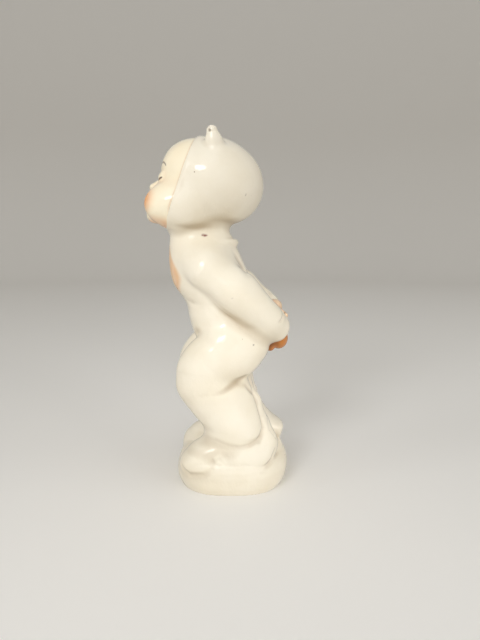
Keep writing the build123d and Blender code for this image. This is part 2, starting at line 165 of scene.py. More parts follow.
def from_right_leg(p):
    """Points about the right leg, carried to the same places about the left one."""
    return mirrored(p) + np.array((0.0, RIGHT_LEG_FORWARD, 0.0))


# Base
BASE_WIDTH = 75.0
BASE_DEPTH = 78.0
BASE_SQUARENESS = 2.6
# The side of the base: height, then how far it draws in across and from front to back
BASE_SIDE = (
    (0.0, 1.6, 2.5),
    (4.0, 0.3, 0.6),
    (9.0, 0.0, 0.0),
    (14.0, 0.8, 0.9),
    (18.0, 3.2, 3.4),
    (20.5, 8.0, 8.0),
    (21.5, 13.0, 13.0),
)
BASE_LEVELS = smooth_levels(
    [(z, 0.0, BASE_WIDTH / 2 - across, BASE_DEPTH / 2 - deep) for z, across, deep in BASE_SIDE]
)
MOUND = ((0.0, 20.0, 14.0), (20.0, 18.6, 21.0))
HEEL = ((16.5, 10.0, 23.0), (18.5, 20.0, 15.5))
SOLE = ((19.0, -8.0, 19.5), (15.5, 15.0, 7.0))


def base_form(p):
    slab = loft(p, BASE_LEVELS, power=BASE_SQUARENESS)
    ground = blend(slab, ellipsoid(p, *MOUND), fillet=8.0)
    sharper_behind = 9.0 - 7.5 * ramp(p[:, 1], 10.0, 22.0)
    for leg in (p, from_right_leg(p)):
        foot = blend(ellipsoid(leg, *HEEL), ellipsoid(leg, *SOLE), fillet=9.0)
        ground = blend(ground, foot, sharper_behind)
    return np.maximum(ground, -p[:, 2])


# Legs and tail
SHOE = ((LEG_X + 2.5, -21.5, 20.0), (14.0, 14.5, 9.8), 18.0)
INSTEP = ((LEG_X, -8.5, 25.0), (12.5, 14.0, 11.0))
LOWER_LEG_LEVELS = smooth_levels((
    (24.0, 1.0, 10.0, 8.0),
    (31.0, 2.5, 12.0, 11.0),
    (34.0, 2.8, 15.0, 15.0),
    (37.5, 2.5, 17.0, 18.4),
    (43.0, 1.5, 17.7, 20.6),
    (50.0, -2.0, 17.5, 23.0),
    (60.0, -7.2, 17.5, 24.6),
    (70.0, -10.5, 17.0, 24.0),
    (82.0, -9.0, 14.0, 18.0),
))
CALF_WEB = (
    ((11.0, 7.0, 75.0), (12.5, 14.2, 58.0), (13.0, 17.0, 42.0), (15.0, 20.8, 29.5)),
    (4.5, 6.2, 9.0, 12.0),
)
THIGH = ((LEG_X, -6.3, 90.2), (18.0, 33.2, 21.5), 30.0)
SEAT = ((12.0, 9.5, 96.0), (13.5, 11.0, 14.0))
# The flat under the thigh is where this much of Y, of Z and this constant add up to nothing
UNDER_THIGH = (0.767, -0.64, 39.3)
TAIL_LEVELS = smooth_levels((
    (26.0, 31.5, 3.5, 3.2),
    (32.0, 30.8, 8.5, 6.0),
    (38.0, 29.3, 12.2, 7.7),
    (44.0, 22.8, 12.5, 7.2),
    (52.0, 16.6, 11.2, 6.7),
    (62.0, 12.0, 10.0, 6.4),
    (74.0, 9.0, 9.0, 6.5),
    (88.0, 6.0, 10.0, 8.0),
))


def paw_form(p):
    return blend(ellipsoid(p, *SHOE), ellipsoid(p, *INSTEP), fillet=6.0)


def lower_leg_form(p):
    return blend(loft(p, LOWER_LEG_LEVELS, LEG_X), limb(p, *CALF_WEB), fillet=0.6)


def thigh_form(p):
    along_y, along_z, constant = UNDER_THIGH
    under = along_y * p[:, 1] + along_z * p[:, 2] + constant
    whole = blend(ellipsoid(p, *THIGH), ellipsoid(p, *SEAT), fillet=6.0)
    return -blend(-whole, -under, fillet=6.0)


def tail_form(p):
    return loft(p, TAIL_LEVELS)


# Body
TORSO_LEVELS = smooth_levels((
    (86.0, 4.0, 20.0, 17.0),
    (94.0, 3.0, 26.0, 22.5),
    (104.0, 0.0, 28.5, 25.5),
    (116.0, -4.5, 27.0, 25.0),
    (127.0, -7.5, 26.0, 24.0),
    (140.0, -13.0, 27.0, 27.0),
    (152.0, -16.5, 27.0, 26.0),
    (163.0, -19.0, 24.0, 23.5),
    (171.0, -20.5, 19.5, 21.5),
    (180.0, -20.5, 17.0, 19.5),
))
COLLAR_CENTRE = (0.0, -16.6, 167.8)
COLLAR_HALF_WIDTH = 15.6
COLLAR_HALF_DEPTH = 19.2
COLLAR_RADIUS = 2.4


def torso_form(p):
    return loft(p, TORSO_LEVELS)


def collar_form(p):
    q = p - np.array(COLLAR_CENTRE)
    around = np.arctan2(q[:, 1] / COLLAR_HALF_DEPTH, q[:, 0] / COLLAR_HALF_WIDTH)
    ring = (COLLAR_HALF_WIDTH * np.cos(around), COLLAR_HALF_DEPTH * np.sin(around), 0.0 * around)
    return length(q - np.stack(ring, axis=1)) - COLLAR_RADIUS


# Arms and hands
SHOULDER = (21.0, -15.0, 150.0)
LEFT_ELBOW = (24.5, 4.0, 135.2)
LEFT_WRIST = (12.0, 29.4, 111.4)
RIGHT_ELBOW = (-24.5, 4.0, 135.2)
RIGHT_WRIST = (-9.5, 25.8, 122.6)
UPPER_ARM = ((SHOULDER, LEFT_ELBOW), (14.5, 13.0))
LEFT_FOREARM = (
    (LEFT_ELBOW, (23.0, 14.2, 125.4), (18.8, 22.4, 117.2), LEFT_WRIST),
    (13.0, 12.0, 11.0, 10.5),
    6.0,
)
RIGHT_FOREARM = (
    (RIGHT_ELBOW, (-23.0, 12.5, 127.5), (-17.5, 20.0, 124.2), RIGHT_WRIST),
    (13.0, 11.8, 10.4, 9.2),
    6.0,
)
ELBOW_FILLET = 9.0
FINGERS = 4
FINGER_FILLET = 1.0
LEFT_PALM = ((5.0, 33.0, 102.0), (9.5, 6.5, 7.5))
# The knuckle, bend and tip of the left hand's first finger, and the way to the next finger's
LEFT_FINGER = np.array(((0.5, 37.6, 103.4), (-7.2, 36.4, 101.0), (-8.7, 32.2, 99.8)))
LEFT_FINGER_STEP = np.array(((0.0, -3.0, -2.6), (0.0, -2.7, -2.3), (0.0, -1.8, -1.8)))
LEFT_FINGER_RADII = (2.3, 2.2, 1.9)
LEFT_THUMB = (
    ((10.0, 29.5, 100.5), (9.0, 27.0, 96.6), (4.0, 27.0, 95.2)),
    (3.0, 2.7, 2.3),
    FINGER_FILLET,
)
RIGHT_PALM = ((0.8, 30.4, 123.4), (8.4, 5.2, 5.4))
# The right hand's fingers bend round the left wrist, one behind the other along the sleeve
GRIP_REACH = 10.3
GRIP_PITCH = 4.1
GRIP_ANGLES = (-52.0, -27.0, -3.0, 20.0)
GRIP_RADII = (2.4, 2.4, 2.3, 2.0)


def upper_arm_form(p):
    return limb(p, *UPPER_ARM)


def left_forearm_form(p):
    return limb(p, *LEFT_FOREARM)


def right_forearm_form(p):
    return limb(p, *RIGHT_FOREARM)


def left_hand_form(p):
    hand = ellipsoid(p, *LEFT_PALM)
    for index in range(FINGERS):
        stops = LEFT_FINGER + index * LEFT_FINGER_STEP
        finger = limb(p, stops, LEFT_FINGER_RADII, FINGER_FILLET)
        hand = blend(hand, finger, fillet=0.7)
    return blend(hand, limb(p, *LEFT_THUMB), fillet=1.5)


def wrist_point(shift, angle):
    """A point of the grip: shift along the left sleeve, angle from its top towards the outside."""
    axis = np.array(LEFT_WRIST) - np.array(LEFT_ELBOW)
    axis = axis / np.linalg.norm(axis)
    top = np.array((0.0, 0.0, 1.0)) - axis[2] * axis
    top = top / np.linalg.norm(top)
    outside = np.cross(axis, top)
    turn = math.radians(angle)
    middle = np.array(LEFT_WRIST) + axis * shift
    return middle + GRIP_REACH * (math.cos(turn) * top + math.sin(turn) * outside)


def right_hand_form(p):
    hand = ellipsoid(p, *RIGHT_PALM)
    for index in range(FINGERS):
        stops = [wrist_point(-GRIP_PITCH * index, angle) for angle in GRIP_ANGLES]
        hand = blend(hand, limb(p, stops, GRIP_RADII, FINGER_FILLET), fillet=0.6)
    return hand


# Head, tipped back about its centre. Apart from the ear, its forms are on the head's own axes:
# side, forward and up.
HEAD_CENTRE = (0.0, -12.5, 205.5)
HEAD_TILT = math.radians(20.0)
HOOD_CROWN = ((0.0, 0.0, 3.0), (32.0, 34.0, 28.5))
HOOD_SLING = ((0.0, 10.0, -19.0), (28.5, 22.0, 21.0))
HOOD_EDGE = 19.0
HOOD_RIM_BACK = 1.3
HOOD_RIM_WIDTH = 1.4
HOOD_RIM_HEIGHT = 0.35
EAR = (
    ((18.5, -8.5, 223.0), (21.4, -10.3, 230.6), (23.2, -11.3, 236.3)),
    (7.5, 5.2, 3.5),
    2.0,
)
SKULL = ((0.0, 11.0, 3.5), (26.0, 25.6, 23.5))
JAW = ((0.0, 15.0, -18.5), (25.0, 20.0, 19.5))
CHEEK = ((10.5, 24.5, -23.5), (12.0, 13.6, 12.0))
MUZZLE = ((0.0, 31.5, -24.5), (8.0, 7.0, 6.5))
CHIN = ((0.0, 30.5, -32.0), (6.0, 5.5, 5.0))
NOSE_BRIDGE = (((0.0, 31.0, -6.5), (0.0, 36.8, -14.6)), (2.2, 3.1))
NOSE_WING = ((2.7, 35.6, -16.0), (2.0, 2.4, 1.9))
EYELID = ((9.5, 30.4, -6.5), (5.4, 4.0, 3.6))
UPPER_LIP = (((0.0, 38.2, -23.6), (2.0, 38.0, -23.2), (4.4, 36.6, -24.4)), (1.2, 1.35, 0.5), 0.6)
LOWER_LIP = (((0.0, 37.9, -26.2), (3.6, 36.8, -25.4)), (1.5, 0.6), 0.6)


def head_axes(p):
    """Points as side, forward and up on the head's own axes."""
    y = p[:, 1] - HEAD_CENTRE[1]
    z = p[:, 2] - HEAD_CENTRE[2]
    c, s = math.cos(HEAD_TILT), math.sin(HEAD_TILT)
    return np.stack((p[:, 0], z * s - y * c, y * s + z * c), axis=1)


def both_sides(h):
    """Points on the head's axes, with its right side laid over its left."""
    return np.stack((np.abs(h[:, 0]), h[:, 1], h[:, 2]), axis=1)


def hood_form(p):
    h = head_axes(p)
    hood = blend(ellipsoid(h, *HOOD_CROWN), ellipsoid(h, *HOOD_SLING), fillet=9.0)
    from_rim = (h[:, 1] - HOOD_EDGE + HOOD_RIM_BACK) / HOOD_RIM_WIDTH
    return np.maximum(hood - HOOD_RIM_HEIGHT * np.exp(-(from_rim**2)), h[:, 1] - HOOD_EDGE)


def ear_form(p):
    return limb(p, *EAR)


def lip_form(m):
    return blend(limb(m, *UPPER_LIP), limb(m, *LOWER_LIP), fillet=0.5)


def head_form(p):
    h = head_axes(p)
    m = both_sides(h)
    head = blend(ellipsoid(h, *SKULL), ellipsoid(h, *JAW), fillet=7.0)
    head = blend(head, ellipsoid(m, *CHEEK), fillet=6.0)
    head = blend(head, ellipsoid(h, *MUZZLE), fillet=4.0)
    head = blend(head, ellipsoid(h, *CHIN), fillet=4.0)
    nose = blend(limb(h, *NOSE_BRIDGE), ellipsoid(m, *NOSE_WING), fillet=1.2)
    head = blend(head, nose, fillet=2.5)
    head = blend(head, ellipsoid(m, *EYELID), fillet=2.5)
    return blend(head, lip_form(m), fillet=1.0)


# Each section with its form, its side and the heights between which it lies
SECTIONS = {
    "base": (base_form, "plain", 0, 35),
    "left_paw": (paw_form, "plain", 9, 30),
    "right_paw": (paw_form, "right_leg", 9, 30),
    "left_lower_leg": (lower_leg_form, "plain", 17, 82),
    "right_lower_leg": (lower_leg_form, "right_leg", 17, 82),
    "left_thigh": (thigh_form, "plain", 64, 117),
    "right_thigh": (thigh_form, "right_leg", 64, 117),
    "tail": (tail_form, "plain", 26, 90),
    "torso": (torso_form, "plain", 86, 180),
    "collar": (collar_form, "plain", 165, 171),
    "left_upper_arm": (upper_arm_form, "plain", 117, 165),
    "right_upper_arm": (upper_arm_form, "mirror", 117, 165),
    "left_forearm": (left_forearm_form, "plain", 101, 144),
    "right_forearm": (right_forearm_form, "plain", 113, 144),
    "left_hand": (left_hand_form, "plain", 92, 110),
    "right_hand": (right_hand_form, "plain", 112, 133),
    "hood": (hood_form, "plain", 168, 237),
    "left_ear": (ear_form, "plain", 217, 240),
    "right_ear": (ear_form, "mirror", 217, 240),
    "head": (head_form, "plain", 172, 236),
}
NODES = list(SECTIONS)
FINE_NODES = ("head", "left_hand", "right_hand")


def section_distances(p):
    """The distance from each point to each section, as columns in the order of NODES."""
    low, high = p[:, 2].min(), p[:, 2].max()
    sides = {"plain": p, "mirror": mirrored(p), "right_leg": from_right_leg(p)}
    columns = np.full((len(p), len(NODES)), FAR)
    for column, (form, side, bottom, top) in enumerate(SECTIONS.values()):
        if low < top + REACH and high > bottom - REACH:
            columns[:, column] = form(sides[side])
    return columns


def joins(p):
    """The fillet where each section meets those before it, in the order of joining."""
    y, z = p[:, 1], p[:, 2]
    shoulder = 2.0 + 7.0 * ramp(z, 140.0, 158.0)
    hip = 3.0 + 6.0 * ramp(y, -24.0, -8.0)
    knee = 14.0 - 11.5 * ramp(y, -26.0, -4.0)
    instep = 5.0 + 9.0 * ramp(z, 22.0, 31.0)
    return {
        "torso": None,
        "left_upper_arm": shoulder,
        "right_upper_arm": shoulder,
        "left_thigh": hip,
        "right_thigh": hip,
        "left_lower_leg": knee,
        "right_lower_leg": knee,
        "base": 9.0 - 6.0 * ramp(y, 2.0, 16.0),
        "left_paw": instep,
        "right_paw": instep,
        "tail": 1.6 + 6.0 * ramp(z, 60.0, 76.0),
        "hood": 4.0,
        "collar": 2.0,
        "head": 0.5,
        "left_ear": 2.5,
        "right_ear": 2.5,
        "left_hand": 0.8,
        "right_hand": 0.8,
    }


def forms(p):
    """The signed distance to the joined sections. Each forearm joins with its upper arm."""
    columns = dict(zip(NODES, section_distances(p).T))
    for side in ("left", "right"):
        arm, forearm = side + "_upper_arm", side + "_forearm"
        columns[arm] = blend(columns[arm], columns[forearm], ELBOW_FILLET)
    skin = None
    for node, fillet in joins(p).items():
        skin = columns[node] if skin is None else blend(skin, columns[node], fillet)
    return skin


# Folds, drawn on the left side: width, then Y, Z and depth at each point. A lump is a fold of
# negative depth.
BODY_FOLDS = (
    # Under the hood
    (2.6, ((-38, 178, 0.3), (-27.6, 176.5, 0.8), (-16.6, 175.8, 0.9), (0, 175.2, 0.5))),
    # Under the arm
    (4.5, (
        (-19, 137.5, 0.3), (-12, 131.5, 0.7), (-4, 124.5, 0.9),
        (5, 117.8, 0.8), (13.5, 110.6, 0.6), (22, 103.5, 0.3),
    )),
    # Belly, waist and groin
    (2.5, ((-31, 129.5, 0.2), (-26, 128, 0.9), (-20, 126.5, 0.2))),
    (5.0, ((-15, 114, 0.6), (-10, 113.5, 0.6))),
    (3.0, ((-23, 107.5, 0.8), (-17, 108, 0.3))),
    # Between the back and the arm
    (3.4, (
        (0.5, 165, 0.2), (4, 158.5, 1.0), (7.5, 152.5, 1.2), (10.5, 148, 0.7), (12.5, 145.5, 0.1),
    )),
)
LEFT_CUFF_FOLDS = (
    (1.1, ((31.6, 116.6, 0.6), (33.4, 117.2, 1.6), (34.4, 119.0, 1.5), (34.8, 121.4, 0.8))),
)
LEG_FOLDS = (
    # Behind the knee, then down behind the calf and along its foot
    (2.6, ((-24, 68, 0.1), (-14, 68.8, 0.6), (-5, 71.5, 1.3), (3.8, 76.5, 2.4), (9, 79, 1.6))),
    (1.5, (
        (4, 75.5, 0.8), (10, 73.2, 1.6), (15, 66, 2.0), (17.9, 58.4, 2.2),
        (20.5, 50, 2.1), (22, 42.5, 1.7), (18.5, 34.5, 0.8),
    )),
    (1.4, ((-10, 37.5, 0.1), (-4, 35, 0.2), (5, 33.3, 0.4), (13, 33.5, 0.4), (17, 35, 0.2))),
    # Round the shoe, round the heel and beside the tail
    (1.6, ((-34, 17, 0.5), (-28, 12.5, 0.9), (-18, 14.3, 1.1), (-13.5, 19, 1.0), (-12, 24, 0.5))),
    (1.6, ((30.3, 26.5, 0.7), (27.9, 21, 1.4), (24.5, 17.8, 1.3), (20, 15.6, 0.4))),
    (1.0, ((24, 52, 0.2), (26.6, 40.3, 0.5), (33, 31, 0.4))),
    # Lumps on the instep
    (2.0, ((-10.8, 24.8, -0.7), (-10.3, 25, -0.7))),
    (1.7, ((-8, 26.6, -0.6), (-7.5, 26.8, -0.6))),
    (1.9, ((-5.5, 24.3, -0.7), (-5, 24, -0.7))),
    (1.7, ((-8, 22, -0.6), (-7.5, 21.8, -0.6))),
)
FOLD_PIECES = 3  # pieces that a fold is drawn in between two of its points
FOLD_REACH = 2.6  # widths beyond which a fold no longer counts

# Chips in the glaze on the left side: paint that shows, then Y, Z and radius
CHIPS = (
    ("chips", -18.2, 172.8, 0.9),
    ("chips", -16.9, 172.6, 1.1),
    ("chips", -15.7, 172.6, 0.8),
    ("scuffs", -12.9, 236.1, 1.2),
    ("scuffs", 1.0, 133.3, 0.5),
    ("scuffs", 14.9, 102.0, 0.6),
    ("scuffs", 9.8, 197.6, 0.5),
)
CHIP_DEPTH = 0.35
CHIP_SPAN = 0.01  # a chip is a fold as short as this

# Walking in from the side to the skin: rounds, share of the distance taken and longest step
WALK_ROUNDS = 60
WALK_SHARE = 0.8
WALK_LIMIT = 5.0


def on_left_side(places):
    """The places, given in Y and Z, carried along X until they meet the figure."""
    p = np.array([(FAR, y, z) for y, z in places])
    for _ in range(WALK_ROUNDS):
        p[:, 0] -= WALK_SHARE * np.clip(forms(p), -WALK_LIMIT, WALK_LIMIT)
    return p


def traced(fold):
    """A fold as its width, its points on the skin and its depth at each of them."""
    width, stops = fold
    stops = np.array(stops, float)
    pieces = len(stops) - 1
    rows = np.linspace(0, pieces, FOLD_PIECES * pieces + 1)
    y, z, depths = (np.interp(rows, np.arange(len(stops)), column) for column in stops.T)
    return width, on_left_side(zip(y, z)), depths


def on_right(fold, forward=0.0):
    width, points, depths = fold
    return width, mirrored(points) - np.array((0.0, forward, 0.0)), depths


chip_places = on_left_side([(y, z) for _, y, z, _ in CHIPS])
body_folds = [traced(fold) for fold in BODY_FOLDS]
leg_folds = [traced(fold) for fold in LEG_FOLDS]
FOLDS = body_folds + leg_folds
FOLDS += [traced(fold) for fold in LEFT_CUFF_FOLDS]
FOLDS += [on_right(fold) for fold in body_folds]
FOLDS += [on_right(fold, RIGHT_LEG_FORWARD) for fold in leg_folds]
FOLDS += [
    (radius, np.stack((place, place + CHIP_SPAN)), (CHIP_DEPTH, CHIP_DEPTH))
    for (_, _, _, radius), place in zip(CHIPS, chip_places)
]


def folded(p):
    """How far the folds push the skin in at each point."""
    depth = np.zeros(len(p))
    for width, points, depths in FOLDS:
        reach = FOLD_REACH * width
        low, high = points.min(axis=0) - reach, points.max(axis=0) + reach
        near = np.all((p > low) & (p < high), axis=1)
        if not near.any():
            continue
        q = p[near]
        best = np.full(len(q), FAR)
        amount = np.zeros(len(q))
        for a, b, start, end in zip(points, points[1:], depths, depths[1:]):
            share, away = along(q, a, b)
            closer = away < best
            best = np.where(closer, away, best)
            amount = np.where(closer, start + (end - start) * share, amount)
        depth[near] += amount * np.exp(-((best / width) ** 2))
    return depth


# Unevenness of the casting: height of its slow and its quick waves
SLOW_WAVE = 0.18
QUICK_WAVE = 0.04


def wobble(p):
    """The slight unevenness of a hand-finished casting."""
    x, y, z = p.T
    slow = np.sin(x / 6.1 + 0.7) * np.sin(y / 7.3 + 1.9) * np.sin(z / 6.7)
    quick = np.sin(x / 2.9 + z / 4.3) * np.sin(y / 3.3 - z / 3.7 + 0.4)
    return SLOW_WAVE * slow + QUICK_WAVE * quick


def sculpt(p):
    """The signed distance to the finished figure."""
    return forms(p) + folded(p) + wobble(p)


def in_slabs(function, p):
    """Runs the function on the points one slab of height at a time."""
    order = np.argsort(p[:, 2], kind="stable")
    heights = p[order, 2]
    stops = np.searchsorted(heights, np.arange(heights[0] + SLAB, heights[-1], SLAB))
    results = [function(p[rows]) for rows in np.split(order, stops) if len(rows)]
    whole = np.concatenate(results)
    back = np.empty_like(whole)
    back[order] = whole
    return back


def lattice(*ranges):
    """Every whole-number place in the ranges, one to a row."""
    return np.stack(np.meshgrid(*ranges, indexing="ij"), axis=-1).reshape(-1, 3)


def sample_grid():
    """Distances on the grid, worked out only in the blocks that the skin passes through."""
    block = CELL * BLOCK
    counts = np.ceil((GRID_HIGH - GRID_LOW) / block).astype(int)
    blocks = lattice(*[np.arange(n) for n in counts])
    rough = in_slabs(sculpt, GRID_LOW + (blocks + 0.5) * CELL * BLOCK)
    values = rough.reshape(counts)
    for axis in range(3):
        values = np.repeat(values, BLOCK, axis)
    busy = blocks[np.abs(rough) < block * NEAR_BLOCKS]
    cells = (busy[:, None, :] * BLOCK + lattice(*[np.arange(BLOCK)] * 3)).reshape(-1, 3)
    values[tuple(cells.T)] = in_slabs(sculpt, GRID_LOW + cells * CELL)
    return values


def surface_nets(values):
    """Points and four-sided faces where the grid changes sign."""
    inside = values < 0
    corners = lattice((0, 1), (0, 1), (0, 1))
    size = np.array(values.shape) - 1
    count = np.zeros(size, int)
    for c in corners:
        count += inside[tuple(slice(c[i], c[i] + size[i]) for i in range(3))]
    cells = np.argwhere((count > 0) & (count < len(corners)))
    number = np.full(size, -1)
    number[tuple(cells.T)] = np.arange(len(cells))
    # Each cell's point is the middle of the places where its edges cross the skin
    total = np.zeros((len(cells), 3))
    hits = np.zeros(len(cells))
    for a in corners:
        for axis in np.flatnonzero(a == 0):
            b = a.copy()
            b[axis] = 1
            va, vb = values[tuple((cells + a).T)], values[tuple((cells + b).T)]
            cross = (va < 0) != (vb < 0)
            t = np.where(cross, va / np.where(cross, va - vb, 1.0), 0.0)
            total += np.where(cross[:, None], a + t[:, None] * (b - a), 0.0)
            hits += cross
    points = GRID_LOW + (cells + total / hits[:, None]) * CELL
    # Each grid edge that crosses the skin joins the four cells round it
    axes = np.eye(3, dtype=int)
    faces = []
    for axis in range(3):
        u, v = axes[[(axis + 1) % 3, (axis + 2) % 3]]
        first = inside[tuple(slice(0, n - a) for n, a in zip(values.shape, axes[axis]))]
        second = inside[tuple(slice(a, None) for a in axes[axis])]
        for leaving in (False, True):
            edges = np.argwhere((first & ~second) if leaving else (second & ~first))
            edges = edges[np.all((edges - u - v) >= 0, axis=1)]
            edges = edges[np.all(edges < size, axis=1)]
            ring = [number[tuple((edges - shift).T)] for shift in (u + v, v, 0 * u, u)]
            quad = np.stack(ring if leaving else ring[::-1], axis=1)
            faces.append(quad[np.all(quad >= 0, axis=1)])
    return points, np.concatenate(faces)


def gradients(p):
    """The slope of the sculpture at each point, from four probes round it."""
    probes = np.array(((1, -1, -1), (-1, -1, 1), (-1, 1, -1), (1, 1, 1)), float)
    total = np.zeros_like(p)
    for probe in probes:
        total += probe * in_slabs(sculpt, p + probe * PROBE)[:, None]
    return total / (len(probes) * PROBE)


def settled(p, rounds=2):
    """The points moved on to the skin."""
    for _ in range(rounds):
        slope = gradients(p)
        steep = np.maximum(np.einsum("ij,ij->i", slope, slope), LEAST_SLOPE)
        move = in_slabs(sculpt, p)[:, None] * slope / steep[:, None]
        p = p - np.clip(move, -CELL, CELL)
    return p


def triangles_by_section(points, triangles):
    """Cuts the triangles where the nearest section changes.

    Returns the points with those of the cuts added, and each section's faces.
    """
    columns = in_slabs(section_distances, points)
    owner = columns.argmin(axis=1)
    owners = owner[triangles]
    whole = (owners == owners[:, :1]).all(axis=1)
    faces = [list(map(tuple, triangles[whole & (owners[:, 0] == n)])) for n in range(len(NODES))]
    added = []
    crossings = {}

    def crossing(a, b):
        """The point between a and b that is as near to the one's section as to the other's."""
        key = (min(a, b), max(a, b))
        if key not in crossings:
            a, b = key
            gap_a = columns[a, owner[b]] - columns[a, owner[a]]
            gap_b = columns[b, owner[a]] - columns[b, owner[b]]
            share = gap_a / max(gap_a + gap_b, TINY)
            share = np.clip(share, CUT_MARGIN, 1.0 - CUT_MARGIN)
            crossings[key] = len(points) + len(added)
            added.append(points[a] + share * (points[b] - points[a]))
        return crossings[key]

    for a, b, c in triangles[~whole]:
        # The corner that has a section to itself comes first
        if owner[a] == owner[c]:
            a, b, c = b, c, a
        elif owner[a] == owner[b]:
            a, b, c = c, a, b
        ab, ca = crossing(a, b), crossing(c, a)
        if owner[b] == owner[c]:
            faces[owner[a]].append((a, ab, ca))
            faces[owner[b]] += [(ab, b, c), (ab, c, ca)]
            continue
        bc = crossing(b, c)
        middle = len(points) + len(added)
        added.append((points[a] + points[b] + points[c]) / 3.0)
        faces[owner[a]] += [(a, ab, middle), (a, middle, ca)]
        faces[owner[b]] += [(b, bc, middle), (b, middle, ab)]
        faces[owner[c]] += [(c, ca, middle), (c, middle, bc)]
    everything = np.concatenate((points, np.array(added).reshape(-1, 3)))
    return everything, [np.array(f) for f in faces]


def face_edges(faces):
    """The three edges of each face, all the first ones first."""
    return np.concatenate((faces[:, [0, 1]], faces[:, [1, 2]], faces[:, [2, 0]]))


def refined(faces, points):
    """Each face cut into four, with the new inner points moved on to the skin."""
    sides = np.sort(face_edges(faces), axis=1)
    edges, place, uses = np.unique(sides, axis=0, return_inverse=True, return_counts=True)
    middles = points[edges].mean(axis=1)
    middles[uses == 2] = settled(middles[uses == 2], 1)
    ab, bc, ca = len(points) + place.reshape(3, -1)
    a, b, c = faces.T
    quarters = ((a, ab, ca), (b, bc, ab), (c, ca, bc), (ab, bc, ca))
    cut = np.concatenate([np.stack(q, axis=1) for q in quarters])
    return cut, np.concatenate((points, middles))


def make_skin():
    """The skin's points, their normals and each section's faces."""
    net, quads = surface_nets(sample_grid())
    triangles = np.concatenate((quads[:, [0, 1, 2]], quads[:, [0, 2, 3]]))
    net = settled(net)
    points, faces = triangles_by_section(net, triangles)
    points[len(net):] = settled(points[len(net):])
    faces = dict(zip(NODES, faces))
    for node in FINE_NODES:
        faces[node], points = refined(faces[node], points)
    normals = gradients(points)
    return points, normals / length(normals)[:, None], faces


def deepest_core(rim, starts):
    """The point from the starts to the figure's middle whose lines to the rim stay best inside."""
    best, core = FAR, starts[0]
    for start in starts:
        middle = np.array((0.0, MIDDLE_Y, start[2]))
        for share in np.linspace(0.0, 1.0, CORE_TRIES):
            place = start + share * (middle - start)
            tests = [rim + t * (place - rim) for t in CORE_TESTS]
            worst = sculpt(np.concatenate(tests)).max()
            if worst < best:
                best, core = worst, place
    return core


def closed(faces, points, normals):
    """Faces that close a section inside, and their new points.

    They run straight in from the section's open edges, and from there to one point.
    """
    edges = {tuple(edge) for edge in face_edges(faces)}
    rim = np.array(sorted(edge for edge in edges if edge[::-1] not in edges))
    ring, place = np.unique(rim, return_inverse=True)
    inner = points[ring] - INSET * normals[ring]
    starts = (points[np.unique(faces)].mean(axis=0), inner.mean(axis=0))
    core = deepest_core(inner[::RIM_STRIDE], starts)
    a, b = rim.T
    inner_a, inner_b = len(points) + place.reshape(-1, 2).T
    tip = np.full(len(rim), len(points) + len(ring))
    inside = ((b, a, inner_a), (b, inner_a, inner_b), (inner_b, inner_a, tip))
    cover = np.concatenate([np.stack(f, axis=1) for f in inside])
    return cover, np.concatenate((inner, core[None]))


def add_piece(node, faces, points, normals, paints):
    """Makes one section's mesh, closed inside, with the sculpture's own normals and paints."""
    inside, added = closed(faces, points, normals)
    every = np.concatenate((faces, inside))
    used, local = np.unique(every, return_inverse=True)
    local = local.reshape(-1, 3)
    places = np.concatenate((points, added))[used] * MM
    mesh = bpy.data.meshes.new(node)
    mesh.from_pydata(places.tolist(), [], local.tolist())
    mesh.polygons.foreach_set("use_smooth", [True] * len(every))

    corners = places[local]
    flat = np.cross(corners[:, 1] - corners[:, 0], corners[:, 2] - corners[:, 0])
    flat /= np.maximum(length(flat), TINY)[:, None]
    shading = np.concatenate((normals, np.zeros_like(added)))[used][local].reshape(-1, 3)
    shading[3 * len(faces):] = np.repeat(flat[len(faces):], 3, axis=0)
    mesh.normals_split_custom_set(shading.tolist())

    for name, values in paints.items():
        layer = mesh.attributes.new(name, "FLOAT", "POINT")
        padded = np.append(values, np.zeros(len(added)))
        layer.data.foreach_set("value", padded[used].astype(np.float32))
    piece = bpy.data.objects.new(node + "_cast", mesh)
    bpy.context.scene.collection.objects.link(piece)
    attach(piece, "root")
    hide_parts(node)
    return piece


# Hollows that get painted shade, a darker colour where shade falls: how far out of the skin they
# are felt for
CREASE = 2.2
HOLLOW = 7.0
SHELTER = 16.0
HOLLOW_SHADE = 0.4  # share of the creases' painted shade that a hollow gets
FOLD_SHADE = 0.55  # painted shade for each millimetre of a fold's depth
FOLD_UNSHADED = 0.4  # depth of fold that gets no painted shade
DIM_LESS = 0.7  # share of the painted shade left off where the real shadow is deep anyway
HOOD_SHADE = 0.2  # more painted shade from the hood's lower edge up
CHIN_SHADE = 0.5  # warm painted shade on what faces down

# Chest paint: an oval that narrows towards the neck
BIB_HEIGHT = 150.0
BIB_HALF_HEIGHT = 19.0
BIB_HALF_WIDTH = 22.0
BIB_NARROWING = 9.0

# Face paint, on the head's own axes. A line is a shallow arc: its middle to the side, its half
# width, its height at the ends and how far it rises between them.
BLUSH_CENTRE = (11.5, 36.0, -24.0)
BLUSH_RADII = (11.5, 13.0, 9.5)
LASH = (9.6, 5.2, -7.4, -2.0)
BROW = (10.2, 5.4, 0.8, 1.7)
NOSTRIL_CENTRE = (1.5, 38.4, -17.4)
NOSTRIL_RADIUS = 0.5
LINE_END = 6.0  # how quickly a line stops past its ends


def hidden(points, normals, reach):
    """How far each skin point lies in a hollow of about this size."""
    away = in_slabs(sculpt, points + reach * normals)
    return 1.0 - np.clip(away / reach, 0.0, 1.0)


def evened(values, faces, rounds=1):
    """The values averaged with their neighbours on the skin."""
    ends = face_edges(np.concatenate(list(faces.values())))
    for _ in range(rounds):
        total, count = values.copy(), np.ones(len(values))
        for here, there in ((0, 1), (1, 0)):
            total += np.bincount(ends[:, here], values[ends[:, there]], len(values))
            count += np.bincount(ends[:, here], minlength=len(values))
        values = total / count
    return values


